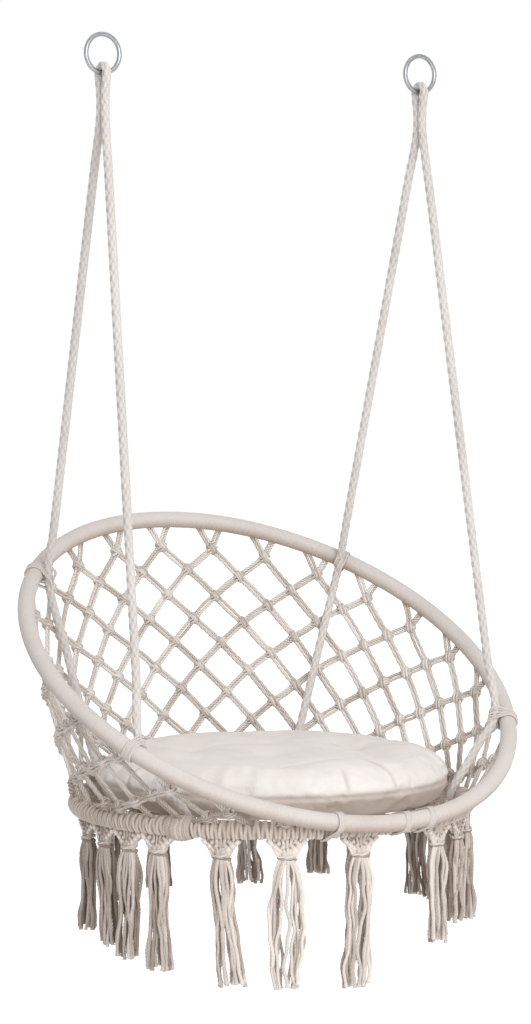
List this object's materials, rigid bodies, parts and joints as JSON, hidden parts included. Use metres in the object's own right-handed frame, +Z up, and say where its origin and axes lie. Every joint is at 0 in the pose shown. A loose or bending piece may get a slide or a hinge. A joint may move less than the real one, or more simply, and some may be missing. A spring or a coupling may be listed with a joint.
{
  "type": "hammock chair",
  "caption": "Macrame hammock chair: cord-wrapped hoops joined by a knotted net, hung from steel rings on folded ropes, with a tufted cushion and a tassel fringe.",
  "frame": {"origin": "midway between the two points where the overhead hooks bear on the inside of the hanging rings, so the whole chair lies below it", "axes": "+Z up, +X to the sitter's left as they face -Y, +Y towards the high side of the back; the picture sees the front from the left of the frame"},
  "size_m": [0.8, 0.6856, 1.3946],
  "materials": {
    "ring_steel": "zinc-plated steel wire, satin",
    "tube_steel": "bare welded steel tube, hidden by the cord",
    "hoop_cotton": "off-white twisted cotton cord, wound close, matt",
    "seat_hoop_cotton": "natural cotton cord in half hitches, matt",
    "rope_cotton": "off-white braided cotton rope, matt",
    "net_cotton": "natural twisted cotton cord, knotted, matt",
    "tassel_cotton": "natural cotton cord, loose and wavy, matt",
    "cushion_cotton": "off-white woven cotton over fibre filling, matt"
  },
  "bodies": {
    "hangers": {"left_ring": "ring_steel", "right_ring": "ring_steel"},
    "chair": {"left_rope": "rope_cotton", "right_rope": "rope_cotton", "back_hoop_tube": "tube_steel", "back_hoop_wrap": "hoop_cotton", "seat_hoop_tube": "tube_steel", "seat_hoop_wrap": "seat_hoop_cotton", "net_back": "net_cotton", "net_rear_left": "net_cotton", "net_rear_right": "net_cotton", "net_side_left": "net_cotton", "net_side_right": "net_cotton", "net_front_left": "net_cotton", "net_front_right": "net_cotton", "seat_net": "net_cotton", "front_lashing_1": "hoop_cotton", "front_lashing_2": "hoop_cotton", "front_lashing_3": "hoop_cotton", "rear_left_lashing": "hoop_cotton", "rear_right_lashing": "hoop_cotton", "front_left_lashing": "hoop_cotton", "front_right_lashing": "hoop_cotton", "tassel_01": "tassel_cotton", "tassel_02": "tassel_cotton", "tassel_03": "tassel_cotton", "tassel_04": "tassel_cotton", "tassel_05": "tassel_cotton", "tassel_06": "tassel_cotton", "tassel_07": "tassel_cotton", "tassel_08": "tassel_cotton", "tassel_09": "tassel_cotton", "tassel_10": "tassel_cotton", "tassel_11": "tassel_cotton", "tassel_12": "tassel_cotton", "tassel_13": "tassel_cotton", "tassel_14": "tassel_cotton", "tassel_15": "tassel_cotton", "tassel_16": "tassel_cotton", "tassel_17": "tassel_cotton", "tassel_18": "tassel_cotton"},
    "cushion": {"cushion": "cushion_cotton"}
  },
  "joints": [
    {"name": "chair_swing", "type": "hinge", "parent": "hangers", "child": "chair", "pos_m": [0, 0, -0.0535], "axis": [1, 0, 0], "range_deg": [-30, 30]},
    {"name": "cushion_lift", "type": "slide", "parent": "chair", "child": "cushion", "axis": [0, 0, 1], "range_m": [0, 0.3]}
  ]
}
